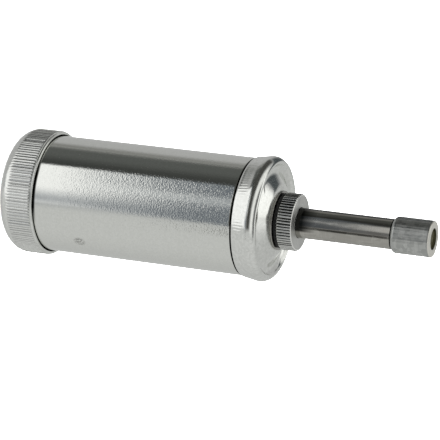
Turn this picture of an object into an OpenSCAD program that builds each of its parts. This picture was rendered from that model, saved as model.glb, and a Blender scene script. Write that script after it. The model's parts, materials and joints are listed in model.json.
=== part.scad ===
// Push-type hand grease gun. A spring-loaded follower feeds grease along the barrel to the pump.
// Pressing the mouthpiece on a nipple slides the tube back over a fixed rod, which drives one shot
// of grease past the check ball. Threads are plain cylinders with running clearance.
// Millimetres. The axis is Z, the gun stands on its rear cap and the mouthpiece points up.

/* [Barrel] */
// Outside diameter of the barrel
barrel_d = 47; // [46.5:0.1:47.5]
// Wall of the barrel
barrel_wall = 0.8; // [0.6:0.1:0.9]
// Height of the front cap's rear edge above the base
front_cap_z = 101.1; // [98:0.1:106]

/* [Rear cap] */
// Diameter over the rear cap's knurl
rear_cap_d = 50.8; // [50.6:0.1:51.4]
// Height of the rear cap
rear_cap_h = 16; // [15.5:0.1:17]
// Radius of the rear cap's rounded corner
rear_corner_r = 6.5; // [6:0.1:7]

/* [Front cap] */
// Largest diameter of the front cap
front_cap_d = 49.9; // [49.6:0.1:50.4]
// Radius of the front cap's rolled edge
front_corner_r = 4.3; // [4.1:0.05:4.5]
// Steepest slope of the front face between its ring-shaped hollow and the boss
face_slope = 33; // [32:0.5:34]

/* [Pump] */
// Diameter of the sliding pump tube
tube_d = 12; // [11.8:0.1:12.1]
// Bare length of the tube between the gland nut and the mouthpiece
tube_bare = 38.7; // [36:0.1:44]
// Working stroke of the tube
stroke = 26; // [20:1:27]
// Diameter over the gland nut's knurl
nut_d = 22.7; // [22.4:0.1:23.2]

/* [Mouthpiece] */
// Diameter over the mouthpiece's knurl
mouth_d = 14.4; // [14.2:0.1:14.8]
// Length of the mouthpiece
mouth_len = 15.5; // [15:0.1:17]
// Diameter of the socket that seats on a nipple
socket_d = 8.2; // [7.6:0.1:8.6]
// Depth of the socket
socket_depth = 1.5; // [1.2:0.1:1.8]

/* [Knurls] */
// Distance from tooth to tooth
knurl_pitch = 1.2; // [1.1:0.05:1.4]

/* [Hidden] */
$fn = 96;
run = 0.05;                                   // radial running clearance
knurl_depth = 0.35;
fine_depth = 0.15;                            // depth of the mouthpiece's fainter knurl
knurl_core = 0.15;                            // solid core under a knurl's roots
seat_gap = 0.1;                               // gap at a stop between moving pieces

barrel_r = barrel_d / 2;
bore_r = barrel_r - barrel_wall;
cap_sheet = 1.2;                              // sheet thickness of both caps
neck_step = 0.9;                              // the barrel's front end is drawn in by this much
neck_r = barrel_r - neck_step;
neck_z = front_cap_z - 0.45;                  // the barrel starts to draw in just before the cap
barrel_top = front_cap_z + 5.6;
barrel_bottom = rear_corner_r + 0.05;

rear_r = rear_cap_d / 2;
rear_root_r = rear_r - knurl_depth;
rear_knurl_z = 5.3;                           // the knurl starts on the rounded corner
lip_h = 0.8;                                  // smooth bead above the knurl
lip_r = rear_r - 0.5;
lip_gap = 0.7;                                // open ring between the bead and the barrel
thread_r = barrel_r + run;
rear_inner_r = rear_corner_r - cap_sheet;

front_r = front_cap_d / 2;
front_corner_c = front_r - front_corner_r;
corner_z = front_cap_z + 6.3;                 // centre height of the front cap's rolled edge
edge_r = barrel_r + 0.4;                      // rear edge of the front cap, which flares from there
flare_r = front_r - 0.3;
flare_z = front_cap_z + 4.2;
flare_end = flare_z + 1.3;                    // the flare eases into the rolled edge
rim_r = 1.1;                                  // raised rim, tangent to the rolled edge at this angle
rim_angle = 47.5;
rim_c = front_corner_c + (front_corner_r - rim_r) * cos(rim_angle);
rim_z = corner_z + (front_corner_r - rim_r) * sin(rim_angle);
boss_r = 12;
boss_z = front_cap_z + 11.5;
// The face rises from the hollow in a cup, runs on as a cone and turns over in a dome to the boss.
hollow_ring_r = 19.4;
cone_outer_r = 17.6;
cone_inner_r = 14.6;
hollow_slope = 12;                            // slope at the hollow's bottom
boss_slope = 8;                               // slope at the boss
cup_arc = (hollow_ring_r - cone_outer_r) / (sin(face_slope) - sin(hollow_slope));
dome_arc = (cone_inner_r - boss_r) / (sin(face_slope) - sin(boss_slope));
cone_top = boss_z - dome_arc * (cos(boss_slope) - cos(face_slope));
cone_foot = cone_top - (cone_outer_r - cone_inner_r) * tan(face_slope);
hollow_z = cone_foot - cup_arc * (cos(hollow_slope) - cos(face_slope));
// The hollow's outer arc runs into the rim without a crease.
hollow_run = rim_c - hollow_ring_r;
hollow_rise = hollow_z - rim_z;
hollow_arc = (hollow_run * hollow_run + hollow_rise * hollow_rise - rim_r * rim_r)
    / (2 * (rim_r - hollow_rise));
blend_share = rim_r / (rim_r + hollow_arc);
blend_r = rim_c - hollow_run * blend_share;
blend_z = rim_z + (hollow_z + hollow_arc - rim_z) * blend_share;
cap_ceiling = hollow_z - 0.9;                 // inside, under the hollow
ceiling_r = hollow_ring_r - 0.8;              // from here the inside follows the cone
ceiling_bevel = 0.8;
under_dome_r = cone_inner_r - 0.6;
under_dome_z = boss_z - cap_sheet - 0.4;
pocket_r = boss_r - 0.6;

tube_r = tube_d / 2;
collar_h = 0.7;
collar_r = 11.8;
ring_h = 1.9;
ring_r = 10.9;
nut_z = boss_z + collar_h + ring_h;
nut_h = 5.8;
nut_r = nut_d / 2;
nut_front = nut_z + nut_h;
nut_wall = 1;
nut_edge = 0.5;                               // plain edge at each end of the nut's knurl
pump_neck_r = 7.95;
neck_top = nut_front - 2.5;
chamber_r = 8;
pump_r = 9.2;
flange_h = 1.5;
flange_z = boss_z - cap_sheet - flange_h;
shoulder_z = front_cap_z + 2.9;               // front end of the spring chamber
stop_h = 4;
stop_z = shoulder_z - seat_gap - stop_h;
spring_room = stroke + 12;
plug_h = 5;
plug_z = stop_z - spring_room - plug_h;
pump_bottom = plug_z - 0.5;
rod_r = 2.95;
rod_head_h = 1.2;
tube_inner_z = stop_z - 2;
rod_tip = tube_inner_z - 0.5;
slot_w = 4;
slot_count = 3;

mouth_z = nut_front + tube_bare;
mouth_r = mouth_d / 2;
mouth_top = mouth_z + mouth_len;
mouth_chamfer = 0.9;
tube_top = mouth_z + 0.5;
tip_r = 4.95;                                 // threaded tip of the tube
tip_top = mouth_z + 6.3;
seat_z = mouth_z + 2.3;
seat_hole_r = 1.5;
valve_r = 3;
ball_r = 2.2;
ball_z = seat_z + sqrt(ball_r * ball_r - seat_hole_r * seat_hole_r) + 0.03;
seal_h = 0.96;
valve_top = mouth_z + 9.7;
outlet_r = 1.1;

stud_r = 2.5;
plate_h = 1.2;
cup_base = 2.5;
cup_h = 8;
plate_z = pump_bottom - 12;
washer_h = 1.2;
nut_small_h = 3.5;

// Number of teeth that fits the pitch round a radius
function teeth_at(r) = round(2 * PI * r / knurl_pitch);

// A ring of straight knurling
module knurl(tip, root, z, h) {
    teeth = teeth_at(tip);
    step = 360 / teeth;
    translate([0, 0, z]) linear_extrude(h)
        polygon([for (i = [0 : teeth - 1], half = [0, 1])
            let (a = (i + half / 2) * step, r = half == 0 ? tip : root) [r * cos(a), r * sin(a)]]);
}

// A flat ring between two radii
module ring(inner, outer, z, h) {
    translate([0, 0, z])
        difference() {
            cylinder(r = outer, h = h);
            translate([0, 0, -1]) cylinder(r = inner, h = h + 2);
        }
}

// A turned bar with a chamfer at each end
module turned(r, z, h, chamfer) {
    rotate_extrude()
        polygon([[0, z], [r - chamfer, z], [r, z + chamfer], [r, z + h - chamfer],
                 [r - chamfer, z + h], [0, z + h]]);
}

// Height of a spring's wire after u turns: each end turn lies closed, the rest are even
function coil_z(z0, z1, wire, turns, u) =
    z0 + wire + 2 * wire * (min(u, 1) + max(u - turns + 1, 0))
    + (z1 - z0 - 6 * wire) * max(min(u - 1, turns - 2), 0) / (turns - 2);

// A compression spring as a swept round wire
module spring(r, wire, z0, z1, turns, steps, sides) {
    rings = turns * steps;
    points = [for (i = [0 : rings], j = [0 : sides - 1])
        let (a = 360 * i / steps, b = 360 * j / sides, p = r + wire * cos(b))
        [p * cos(a), p * sin(a), coil_z(z0, z1, wire, turns, i / steps) + wire * sin(b)]];
    skin = [for (i = [0 : rings - 1], j = [0 : sides - 1])
        let (k = (j + 1) % sides)
        [i * sides + j, i * sides + k, (i + 1) * sides + k, (i + 1) * sides + j]];
    start = [for (j = [sides - 1 : -1 : 0]) j];
    end = [for (j = [0 : sides - 1]) rings * sides + j];
    polyhedron(points, concat(skin, [start, end]));
}

module barrel() {
    color("lightgray")
        rotate_extrude()
            polygon([[bore_r, barrel_bottom], [barrel_r, barrel_bottom],
                     [barrel_r, neck_z], [neck_r, neck_z + neck_step],
                     [neck_r, barrel_top], [neck_r - barrel_wall, barrel_top],
                     [neck_r - barrel_wall, neck_z + neck_step], [bore_r, neck_z]]);
}

// Rounded cup in the cap's half section, from the base up
module rear_cup(r, corner, z) {
    translate([0, z]) square([r - corner, rear_corner_r - z]);
    intersection() {
        translate([r - corner, rear_corner_r]) circle(corner);
        square([r, rear_corner_r]);
    }
    translate([0, rear_corner_r]) square([r, rear_cap_h - lip_h - rear_corner_r]);
}

module rear_cap() {
    color("silver")
        difference() {
            union() {
                rotate_extrude() {
                    intersection() {
                        rear_cup(rear_r, rear_corner_r, 0);
                        square([rear_r, rear_knurl_z]);
                    }
                    translate([0, rear_knurl_z])
                        square([rear_root_r - knurl_core, rear_cap_h - lip_h - rear_knurl_z]);
                    translate([0, rear_cap_h - lip_h]) square([lip_r, lip_h]);
                }
                knurl(rear_r, rear_root_r, rear_knurl_z, rear_cap_h - lip_h - rear_knurl_z);
            }
            rotate_extrude() {
                rear_cup(thread_r, rear_inner_r, cap_sheet);
                translate([0, rear_cap_h - 2 * lip_h]) square([barrel_r + lip_gap, 3 * lip_h]);
            }
        }
}

module rear_cap_seal() {
    color("dimgray")
        rotate_extrude()
            polygon([[bore_r - 2.5, barrel_bottom - 2.05], [bore_r - 0.1, barrel_bottom - 2.05],
                     [barrel_r - 0.1, barrel_bottom - run], [bore_r - 2.5, barrel_bottom - run]]);
}

module follower_spring() {
    color("gray") spring(16, 0.9, cap_sheet + run, plate_z - run, 8, 16, 5);
}

module follower_plate() {
    color("silver") {
        translate([0, 0, plate_z]) cylinder(r = bore_r - 1.7, h = plate_h);
        translate([0, 0, plate_z + plate_h]) cylinder(r = stud_r, h = cup_base + washer_h + nut_small_h + 1);
    }
}

module follower_cup() {
    color("#3a2f26")
        translate([0, 0, plate_z + plate_h])
            difference() {
                cylinder(r = bore_r - run, h = cup_h);
                translate([0, 0, cup_base]) cylinder(r = bore_r - 2, h = cup_h);
                translate([0, 0, -1]) cylinder(r = stud_r, h = cup_h);
            }
}

module follower_washer() {
    color("silver") ring(stud_r, 17, plate_z + plate_h + cup_base, washer_h);
}

module follower_nut() {
    color("silver")
        translate([0, 0, plate_z + plate_h + cup_base + washer_h])
            difference() {
                cylinder(r = 4.62, h = nut_small_h, $fn = 6);
                translate([0, 0, -1]) cylinder(r = stud_r, h = nut_small_h + 2);
            }
}

// Part of a round in a half section, between the rays at two angles
module sector(r, from, to) {
    reach = 2 * r;
    intersection() {
        circle(r);
        polygon([[0, 0], [reach * cos(from), reach * sin(from)],
                 [reach * cos((from + to) / 2), reach * sin((from + to) / 2)],
                 [reach * cos(to), reach * sin(to)]]);
    }
}

// Front half of the cap's section: rolled edge, rim, hollow, domed face and boss
module front_face() {
    translate([front_corner_c, corner_z]) sector(front_corner_r, 0, rim_angle);
    translate([rim_c, rim_z]) sector(rim_r, rim_angle, acos((blend_r - rim_c) / rim_r));
    difference() {
        polygon([[0, corner_z], [front_corner_c, corner_z], [rim_c, rim_z], [blend_r, blend_z],
                 [cone_outer_r, cone_foot], [cone_inner_r, cone_top], [boss_r, boss_z], [0, boss_z]]);
        intersection() {
            translate([hollow_ring_r, hollow_z + hollow_arc]) circle(hollow_arc);
            translate([hollow_ring_r, hollow_z]) square([hollow_run, hollow_arc]);
        }
        intersection() {
            translate([hollow_ring_r + cup_arc * sin(hollow_slope), hollow_z + cup_arc * cos(hollow_slope)])
                circle(cup_arc);
            translate([cone_outer_r, hollow_z]) square([hollow_ring_r - cone_outer_r, cup_arc]);
        }
    }
    intersection() {
        translate([boss_r - dome_arc * sin(boss_slope), boss_z - dome_arc * cos(boss_slope)]) circle(dome_arc);
        translate([boss_r, corner_z]) square([cone_inner_r - boss_r, boss_z - corner_z]);
    }
}

module front_cap() {
    color("silver")
        difference() {
            rotate_extrude() {
                front_face();
                polygon([[0, front_cap_z], [edge_r, front_cap_z], [flare_r, flare_z],
                         [front_r - 0.05, flare_end], [front_r, corner_z], [0, corner_z]]);
            }
            rotate_extrude() {
                polygon([[0, front_cap_z - 1], [barrel_r + 1, front_cap_z - 1],
                         [neck_r + run, front_cap_z + neck_step], [neck_r + run, cap_ceiling - ceiling_bevel],
                         [neck_r + run - ceiling_bevel, cap_ceiling], [ceiling_r, cap_ceiling],
                         [under_dome_r, under_dome_z], [pocket_r, boss_z - cap_sheet],
                         [0, boss_z - cap_sheet]]);
                square([pump_neck_r + 0.25, boss_z + 1]);
            }
        }
}

module front_cap_seal() {
    color("dimgray")
        ring(neck_r - 1.7, neck_r - ceiling_bevel, barrel_top + run, cap_ceiling - barrel_top - 2 * run);
}

module pump_body() {
    color("#b9a36b")
        difference() {
            rotate_extrude()
                polygon([[chamber_r, pump_bottom], [pump_r, pump_bottom], [pump_r, flange_z],
                         [pocket_r - 0.1, flange_z], [pocket_r - 0.1, flange_z + flange_h],
                         [pump_neck_r, flange_z + flange_h], [pump_neck_r, neck_top],
                         [tube_r + run, neck_top], [tube_r + run, shoulder_z], [chamber_r, shoulder_z]]);
            for (i = [0 : slot_count - 1])
                rotate([0, 0, i * 360 / slot_count])
                    translate([chamber_r - 2, -slot_w / 2, plug_z + plug_h + 6])
                        cube([4, slot_w, stop_z - plug_z - plug_h - 12]);
        }
}

module pump_end_plug() {
    color("#b9a36b") ring(rod_r, chamber_r, plug_z, plug_h);
}

module piston_rod() {
    color("lightgray") {
        turned(rod_r, plug_z, rod_tip - plug_z, 0.4);
        translate([0, 0, plug_z - rod_head_h]) cylinder(r = 4.2, h = rod_head_h);
    }
}

module return_spring() {
    color("gray") spring(6.95, 0.5, plug_z + plug_h + run, stop_z - run, 10, 14, 5);
}

module plunger_stop() {
    color("lightgray") ring(tube_r, chamber_r - 0.1, stop_z, stop_h);
}

module plunger_tube() {
    color("dimgray")
        rotate_extrude()
            polygon([[3, tube_inner_z], [tube_r - 0.4, tube_inner_z], [tube_r, tube_inner_z + 0.4],
                     [tube_r, tube_top], [tip_r, tube_top], [tip_r, tip_top], [valve_r, tip_top],
                     [valve_r, seat_z], [seat_hole_r, seat_z], [seat_hole_r, seat_z - 1.4],
                     [3, seat_z - 1.4]]);
}

module collar_washer() {
    color("white") ring(pump_neck_r + run, collar_r, boss_z, collar_h);
}

module neck_seal() {
    color("#222222") ring(pump_neck_r + run, ring_r, boss_z + collar_h, ring_h);
}

module gland_packing() {
    color("#222222")
        ring(tube_r + run, chamber_r - 0.1, neck_top + run, nut_front - nut_wall - neck_top - 2 * run);
}

module gland_nut() {
    color("silver")
        difference() {
            union() {
                turned(nut_r - knurl_depth - knurl_core, nut_z, nut_h, nut_edge / 2);
                knurl(nut_r, nut_r - knurl_depth, nut_z + nut_edge, nut_h - 2 * nut_edge);
            }
            translate([0, 0, nut_z - 1]) cylinder(r = pump_neck_r + run, h = nut_h - nut_wall + 1);
            cylinder(r = tube_r + 0.1, h = nut_front + 1);
        }
}

module check_ball() {
    color("lightgray") translate([0, 0, ball_z]) sphere(ball_r);
}

module check_spring() {
    color("gray") spring(1.6, 0.2, ball_z + 1.62, valve_top - 0.02, 5, 10, 5);
}

module mouthpiece_seal() {
    color("#7a3b22") ring(valve_r + 0.1, tip_r - 0.1, tip_top + 0.02, seal_h);
}

module mouthpiece() {
    color("silver")
        difference() {
            union() {
                turned(mouth_r - fine_depth - knurl_core, mouth_z, mouth_len, mouth_chamfer);
                knurl(mouth_r, mouth_r - fine_depth, mouth_z + mouth_chamfer, mouth_len - 2 * mouth_chamfer);
            }
            translate([0, 0, mouth_z - 1]) cylinder(r = tube_r + 0.15, h = 1.6);
            translate([0, 0, mouth_z - 1]) cylinder(r = tip_r + run, h = tip_top + seal_h + 0.04 - mouth_z + 1);
            translate([0, 0, mouth_z]) cylinder(r = valve_r - 0.1, h = valve_top - mouth_z);
            cylinder(r = outlet_r, h = mouth_top);
            translate([0, 0, mouth_top - socket_depth]) cylinder(r = socket_d / 2, h = socket_depth + 1);
        }
}

barrel();
rear_cap();
rear_cap_seal();
follower_spring();
follower_plate();
follower_cup();
follower_washer();
follower_nut();
front_cap();
front_cap_seal();
pump_body();
pump_end_plug();
piston_rod();
return_spring();
plunger_stop();
plunger_tube();
collar_washer();
neck_seal();
gland_packing();
gland_nut();
check_ball();
check_spring();
mouthpiece_seal();
mouthpiece();
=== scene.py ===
import json
import math

import bmesh
import bpy
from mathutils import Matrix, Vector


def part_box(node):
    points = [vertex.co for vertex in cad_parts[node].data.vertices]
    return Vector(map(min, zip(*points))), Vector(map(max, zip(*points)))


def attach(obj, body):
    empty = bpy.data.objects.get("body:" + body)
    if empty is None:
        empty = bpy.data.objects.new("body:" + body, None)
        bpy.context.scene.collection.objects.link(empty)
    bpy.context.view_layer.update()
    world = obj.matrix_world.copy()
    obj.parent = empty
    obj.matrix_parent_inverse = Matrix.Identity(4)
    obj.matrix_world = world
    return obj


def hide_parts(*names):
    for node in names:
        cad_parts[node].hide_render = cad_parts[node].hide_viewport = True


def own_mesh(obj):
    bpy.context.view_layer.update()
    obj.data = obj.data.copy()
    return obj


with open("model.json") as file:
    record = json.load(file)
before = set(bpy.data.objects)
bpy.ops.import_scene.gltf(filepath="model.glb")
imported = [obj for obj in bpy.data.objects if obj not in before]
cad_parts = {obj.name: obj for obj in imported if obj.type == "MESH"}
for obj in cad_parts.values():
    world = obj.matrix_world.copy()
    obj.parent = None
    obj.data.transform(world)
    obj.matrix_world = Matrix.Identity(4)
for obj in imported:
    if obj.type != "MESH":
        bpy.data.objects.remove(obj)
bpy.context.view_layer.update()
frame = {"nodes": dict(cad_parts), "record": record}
mm = 0.001


# turning: rings are pulled along a half section, as on a lathe

def span(node):  # largest radius, lowest and highest level of a node, in mm
    low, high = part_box(node)
    return max(high.x, high.y) / mm, low.z / mm, high.z / mm


def arc(centreR, centreZ, radius, startDeg, endDeg, steps):
    points = []
    for i in range(steps + 1):
        a = math.radians(startDeg + (endDeg - startDeg) * i / steps)
        points.append((centreR + radius * math.cos(a), centreZ + radius * math.sin(a)))
    return points


def deselectAll():
    bpy.ops.object.select_all(action="DESELECT")


def turn(name, section, segments, smoothDeg=35):
    deselectAll()
    points = list(section)
    capped = points[0][0] == 0
    if capped:
        points.pop(0)  # the fan's own centre stands for the point on the axis
    r, z = points[0]
    bpy.ops.mesh.primitive_circle_add(vertices=segments, radius=r * mm, enter_editmode=True,
                                      fill_type="TRIFAN" if capped else "NOTHING")
    obj = bpy.context.object
    obj.name = name
    obj.data.name = name
    bpy.ops.transform.translate(value=(0, 0, z * mm))
    if capped:
        bpy.ops.mesh.region_to_loop()
    for nextR, nextZ in points[1:]:
        bpy.ops.mesh.extrude_region_move(TRANSFORM_OT_translate={"value": (0, 0, (nextZ - z) * mm)})
        if nextR == 0:
            bpy.ops.mesh.merge(type="CENTER")
            break
        if nextR != r:
            k = nextR / r
            bpy.ops.transform.resize(value=(k, k, 1), center_override=(0, 0, nextZ * mm))
        r, z = nextR, nextZ
    bpy.ops.mesh.select_all(action="SELECT")
    bpy.ops.mesh.remove_doubles(threshold=1e-7)
    bpy.ops.mesh.normals_make_consistent(inside=False)
    bpy.ops.object.mode_set(mode="OBJECT")
    bpy.ops.object.shade_smooth_by_angle(angle=math.radians(smoothDeg))
    return obj


def cutKnurl(obj, tip, depth, teeth, toothShape, low, high, slope=0.0):  # draws flanks and roots inwards
    deselectAll()
    obj.select_set(True)
    bpy.context.view_layer.objects.active = obj
    bpy.ops.object.mode_set(mode="EDIT")
    bpy.ops.mesh.select_mode(type="VERT")
    phases = len(toothShape)
    segments = teeth * phases
    rows = {}
    mesh = bmesh.from_edit_mesh(obj.data)
    for v in mesh.verts:
        r = math.hypot(v.co.x, v.co.y) / mm
        if not low <= v.co.z / mm <= high:
            continue
        phase = round(math.atan2(v.co.y, v.co.x) / math.tau * segments) % phases
        tipHere = tip + slope * (v.co.z / mm - low)
        wanted = tipHere - depth * toothShape[phase]
        if wanted + 0.001 < r < tipHere + 0.01:
            rows.setdefault((round(wanted / r, 6)), []).append(v.index)
    for k, indices in rows.items():
        bpy.ops.mesh.select_all(action="DESELECT")
        mesh = bmesh.from_edit_mesh(obj.data)
        mesh.verts.ensure_lookup_table()
        for i in indices:
            mesh.verts[i].select = True
        mesh.select_flush_mode()
        bpy.ops.transform.resize(value=(k, k, 1), center_override=(0, 0, 0))
    bpy.ops.mesh.select_all(action="SELECT")
    bpy.ops.object.mode_set(mode="OBJECT")


def coil(name, radius, wire, low, high, turns, closed=1, stepsPerTurn=40):  # closed: flat turns at each end
    deselectAll()
    bpy.ops.curve.primitive_nurbs_path_add()
    obj = bpy.context.object
    obj.name = name
    data = obj.data
    data.name = name
    data.splines.clear()
    line = data.splines.new("POLY")
    count = round(turns * stepsPerTurn)
    line.points.add(count)
    pitch = (high - low - 2 * wire - 4 * wire * closed) / (turns - 2 * closed)
    for i in range(count + 1):
        u = i / stepsPerTurn
        ends = closed * (min(u, 1) + max(u - turns + 1, 0))
        z = low + wire + 2 * wire * ends + pitch * max(min(u - closed, turns - 2 * closed), 0)
        a = math.tau * u
        line.points[i].co = (radius * mm * math.cos(a), radius * mm * math.sin(a), z * mm, 1)
    data.dimensions = "3D"
    data.bevel_depth = wire * mm
    data.bevel_resolution = 3
    data.use_fill_caps = True
    bpy.ops.object.convert(target="MESH")
    obj = bpy.context.object
    bpy.ops.object.mode_set(mode="EDIT")
    bpy.ops.mesh.select_all(action="SELECT")
    bpy.ops.mesh.remove_doubles(threshold=1e-7)
    bpy.ops.mesh.normals_make_consistent(inside=False)
    bpy.ops.object.mode_set(mode="OBJECT")
    bpy.ops.object.shade_smooth_by_angle(angle=math.radians(50))
    return obj


# finishes

def nodeAt(tree, kind, x, y, **settings):
    made = tree.nodes.new(kind)
    made.location = (x, y)
    for key, value in settings.items():
        setattr(made, key, value)
    return made


def mathNode(tree, operation, x, y, a=None, b=None, clamp=False):
    made = nodeAt(tree, "ShaderNodeMath", x, y, operation=operation, use_clamp=clamp)
    for i, value in enumerate((a, b)):
        if value is None:
            continue
        if hasattr(value, "links"):
            tree.links.new(value, made.inputs[i])
        else:
            made.inputs[i].default_value = value
    return made.outputs[0]


def newGroup(name, inputs, outputs):
    tree = bpy.data.node_groups.new(name, "ShaderNodeTree")
    for label, kind, value in inputs:
        made = tree.interface.new_socket(label, in_out="INPUT", socket_type=kind)
        if value is not None:
            made.default_value = value
    for label, kind in outputs:
        tree.interface.new_socket(label, in_out="OUTPUT", socket_type=kind)
    enter = nodeAt(tree, "NodeGroupInput", -900, 0)
    leave = nodeAt(tree, "NodeGroupOutput", 700, 0)
    return tree, enter, leave


def makeTurningMarks():  # fine rings round the axis, as a lathe or a polishing wheel leaves them
    tree, enter, leave = newGroup("turningMarks", [
        ("Lines per mm", "NodeSocketFloat", 4.0), ("Patchiness", "NodeSocketFloat", 0.5)],
        [("Height", "NodeSocketFloat"), ("Tone", "NodeSocketFloat")])
    coords = nodeAt(tree, "ShaderNodeTexCoord", -900, 300)
    split = nodeAt(tree, "ShaderNodeSeparateXYZ", -700, 300)
    tree.links.new(coords.outputs["Object"], split.inputs[0])
    across = mathNode(tree, "MULTIPLY", -500, 300, enter.outputs["Lines per mm"], 1000.0)
    along = mathNode(tree, "MULTIPLY", -300, 300, split.outputs["Z"], across)
    slowX = mathNode(tree, "MULTIPLY", -300, 450, split.outputs["X"], 30.0)
    slowY = mathNode(tree, "MULTIPLY", -300, 600, split.outputs["Y"], 30.0)
    join = nodeAt(tree, "ShaderNodeCombineXYZ", -100, 400)
    tree.links.new(slowX, join.inputs[0])
    tree.links.new(slowY, join.inputs[1])
    tree.links.new(along, join.inputs[2])
    lines = nodeAt(tree, "ShaderNodeTexNoise", 100, 400)
    lines.inputs["Scale"].default_value = 1.0
    lines.inputs["Detail"].default_value = 3.0
    tree.links.new(join.outputs[0], lines.inputs["Vector"])
    patches = nodeAt(tree, "ShaderNodeTexNoise", 100, 100)
    patches.inputs["Scale"].default_value = 60.0
    patches.inputs["Detail"].default_value = 2.0
    tree.links.new(coords.outputs["Object"], patches.inputs["Vector"])
    even = mathNode(tree, "SUBTRACT", 300, 100, patches.outputs["Fac"], 0.5)
    patchy = mathNode(tree, "MULTIPLY", 300, 0, even, enter.outputs["Patchiness"])
    height = mathNode(tree, "ADD", 500, 200, lines.outputs["Fac"], patchy)
    tree.links.new(height, leave.inputs["Height"])
    tree.links.new(lines.outputs["Fac"], leave.inputs["Tone"])
    return tree


def makeSpangle():  # small zinc crystals, drawn out round the axis, that catch the light differently
    tree, enter, leave = newGroup("spangle", [
        ("Grain per mm", "NodeSocketFloat", 2.0), ("Stretch", "NodeSocketFloat", 2.0)],
        [("Height", "NodeSocketFloat"), ("Tone", "NodeSocketFloat")])
    coords = nodeAt(tree, "ShaderNodeTexCoord", -900, 300)
    scale = mathNode(tree, "MULTIPLY", -700, 100, enter.outputs["Grain per mm"], 1000.0)
    join = nodeAt(tree, "ShaderNodeCombineXYZ", -500, 0)
    join.inputs[0].default_value = 1.0
    join.inputs[1].default_value = 1.0
    tree.links.new(enter.outputs["Stretch"], join.inputs[2])
    flat = nodeAt(tree, "ShaderNodeVectorMath", -500, 300, operation="MULTIPLY")
    tree.links.new(coords.outputs["Object"], flat.inputs[0])
    tree.links.new(join.outputs[0], flat.inputs[1])
    grains = nodeAt(tree, "ShaderNodeTexVoronoi", -300, 300, feature="F1")
    tree.links.new(flat.outputs[0], grains.inputs["Vector"])
    tree.links.new(scale, grains.inputs["Scale"])
    tone = nodeAt(tree, "ShaderNodeSeparateColor", -100, 300)
    tree.links.new(grains.outputs["Color"], tone.inputs[0])
    rough = nodeAt(tree, "ShaderNodeTexNoise", -300, 0)
    tree.links.new(flat.outputs[0], rough.inputs["Vector"])
    tree.links.new(scale, rough.inputs["Scale"])
    rough.inputs["Detail"].default_value = 2.0
    tree.links.new(rough.outputs["Fac"], leave.inputs["Height"])
    tree.links.new(tone.outputs[1], leave.inputs["Tone"])
    return tree


def makeDrawnLines():  # long streaks along the axis, as a drawn tube has
    tree, enter, leave = newGroup("drawnLines", [("Lines per mm", "NodeSocketFloat", 1.0)],
                                  [("Height", "NodeSocketFloat")])
    coords = nodeAt(tree, "ShaderNodeTexCoord", -900, 300)
    flat = nodeAt(tree, "ShaderNodeVectorMath", -500, 300, operation="MULTIPLY")
    flat.inputs[1].default_value = (1000, 1000, 12)
    tree.links.new(coords.outputs["Object"], flat.inputs[0])
    lines = nodeAt(tree, "ShaderNodeTexNoise", 100, 300)
    lines.inputs["Detail"].default_value = 3.0
    tree.links.new(flat.outputs[0], lines.inputs["Vector"])
    tree.links.new(enter.outputs["Lines per mm"], lines.inputs["Scale"])
    tree.links.new(lines.outputs["Fac"], leave.inputs["Height"])
    return tree


def makeMark():  # a small worn spot or scratch, broken up by grain
    tree, enter, leave = newGroup("mark", [
        ("Centre", "NodeSocketVector", None), ("Along", "NodeSocketVector", None),
        ("Long", "NodeSocketFloat", 1.0), ("Wide", "NodeSocketFloat", 1.0),
        ("Grain", "NodeSocketFloat", 1.0)],
        [("Mask", "NodeSocketFloat")])
    coords = nodeAt(tree, "ShaderNodeTexCoord", -1300, 300)
    scaled = nodeAt(tree, "ShaderNodeVectorMath", -1100, 300, operation="SCALE")
    scaled.inputs["Scale"].default_value = 1 / mm
    tree.links.new(coords.outputs["Object"], scaled.inputs[0])
    away = nodeAt(tree, "ShaderNodeVectorMath", -700, 300, operation="SUBTRACT")
    tree.links.new(scaled.outputs[0], away.inputs[0])
    tree.links.new(enter.outputs["Centre"], away.inputs[1])
    dot = nodeAt(tree, "ShaderNodeVectorMath", -500, 400, operation="DOT_PRODUCT")
    tree.links.new(away.outputs[0], dot.inputs[0])
    tree.links.new(enter.outputs["Along"], dot.inputs[1])
    whole = nodeAt(tree, "ShaderNodeVectorMath", -500, 200, operation="DOT_PRODUCT")
    tree.links.new(away.outputs[0], whole.inputs[0])
    tree.links.new(away.outputs[0], whole.inputs[1])
    along = mathNode(tree, "MULTIPLY", -300, 400, dot.outputs["Value"], dot.outputs["Value"])
    across = mathNode(tree, "SUBTRACT", -300, 200, whole.outputs["Value"], along)
    longs = mathNode(tree, "MULTIPLY", -500, 0, enter.outputs["Long"], enter.outputs["Long"])
    wides = mathNode(tree, "MULTIPLY", -500, -150, enter.outputs["Wide"], enter.outputs["Wide"])
    far = mathNode(tree, "ADD", 0, 300, mathNode(tree, "DIVIDE", -150, 400, along, longs),
                   mathNode(tree, "DIVIDE", -150, 200, across, wides))
    near = nodeAt(tree, "ShaderNodeMapRange", 150, 300)
    near.inputs["From Min"].default_value = 1.0
    near.inputs["From Max"].default_value = 0.2
    tree.links.new(far, near.inputs["Value"])
    grain = nodeAt(tree, "ShaderNodeTexNoise", 0, 0)
    tree.links.new(scaled.outputs[0], grain.inputs["Vector"])
    tree.links.new(enter.outputs["Grain"], grain.inputs["Scale"])
    broken = nodeAt(tree, "ShaderNodeMapRange", 150, 0)
    broken.inputs["From Min"].default_value = 0.40
    broken.inputs["From Max"].default_value = 0.52
    tree.links.new(grain.outputs["Fac"], broken.inputs["Value"])
    mask = mathNode(tree, "MULTIPLY", 400, 200, near.outputs[0], broken.outputs[0])
    tree.links.new(mask, leave.inputs["Mask"])
    return tree


turningMarks = makeTurningMarks()
spangle = makeSpangle()
drawnLines = makeDrawnLines()
markSpot = makeMark()


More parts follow.
